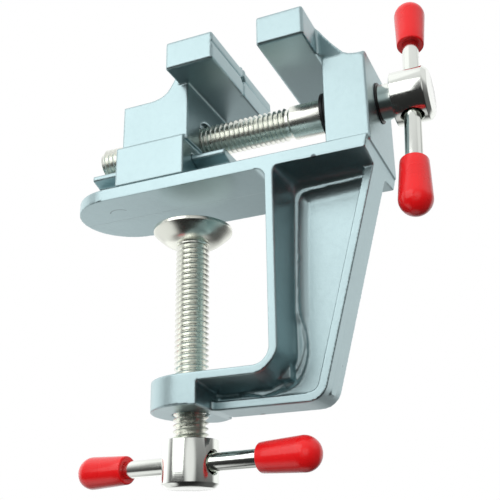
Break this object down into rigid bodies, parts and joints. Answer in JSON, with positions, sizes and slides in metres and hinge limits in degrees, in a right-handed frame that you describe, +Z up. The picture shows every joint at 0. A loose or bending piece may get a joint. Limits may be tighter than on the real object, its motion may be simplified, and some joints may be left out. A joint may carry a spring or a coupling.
{
  "type": "table clamp mini bench vise",
  "caption": "Small table-edge bench vise: C-shaped cast frame with fixed jaw, sliding jaw on a rail, screw with tommy bar, and a clamp screw with pad below.",
  "frame": {"origin": "on the underside of the bed, the face that sits on the bench top, on the axis of the clamp screw", "axes": "+X along the vise screw towards its handle, +Y across the bed, +Z up"},
  "size_m": [0.0895, 0.036, 0.1107],
  "materials": {
    "casting_paint": "satin silver paint on die-cast aluminium, with small pits and worn edges",
    "screw_plating": "bright nickel-plated steel screw thread",
    "head_plating": "bright nickel-plated turned steel",
    "pad_plating": "polished nickel-plated turned steel pad",
    "bar_plating": "bright nickel-plated steel rod",
    "black_steel": "blackened steel washer",
    "black_rubber": "black rubber friction washer",
    "red_vinyl": "glossy red dipped vinyl cap"
  },
  "bodies": {
    "frame": {"frame_casting": "casting_paint", "friction_washer": "black_rubber", "steel_washer": "black_steel", "outer_washer": "black_steel"},
    "jaw": {"movable_jaw": "casting_paint"},
    "vise_spindle": {"vise_screw": "screw_plating", "vise_screw_head": "head_plating"},
    "vise_handle": {"vise_handle_bar": "bar_plating", "vise_cap_upper": "red_vinyl", "vise_cap_lower": "red_vinyl"},
    "pad": {"clamp_pad": "pad_plating"},
    "clamp_spindle": {"clamp_screw": "screw_plating", "clamp_screw_head": "head_plating"},
    "clamp_handle": {"clamp_handle_bar": "bar_plating", "clamp_cap_right": "red_vinyl", "clamp_cap_left": "red_vinyl"}
  },
  "joints": [
    {"name": "vise_screw_turn", "type": "hinge", "parent": "frame", "child": "vise_spindle", "pos_m": [0, 0, 0.0163], "axis": [1, 0, 0], "range_deg": [-3110.4, 5472]},
    {"name": "jaw_slide", "type": "slide", "parent": "frame", "child": "jaw", "axis": [1, 0, 0], "range_m": [-0.01905, 0.01085]},
    {"name": "vise_handle_slide", "type": "slide", "parent": "vise_spindle", "child": "vise_handle", "axis": [0, 0.2453, 0.9694], "range_m": [-0.0101, 0.0128]},
    {"name": "clamp_pad_lift", "type": "slide", "parent": "frame", "child": "pad", "axis": [0, 0, 1], "range_m": [-0.03205, 0.00535]},
    {"name": "clamp_screw_turn", "type": "hinge", "parent": "pad", "child": "clamp_spindle", "pos_m": [0, 0, -0.03], "axis": [0, 0, 1], "range_deg": [-9216, 1526.4]},
    {"name": "clamp_handle_slide", "type": "slide", "parent": "clamp_spindle", "child": "clamp_handle", "axis": [0.9877, -0.1564, 0], "range_m": [-0.0117, 0.0113]}
  ],
  "couplings": [
    {"joint": "jaw_slide", "follows": "vise_screw_turn", "m_per_rad": -0.00019894},
    {"joint": "clamp_pad_lift", "follows": "clamp_screw_turn", "m_per_rad": 0.00019894}
  ]
}
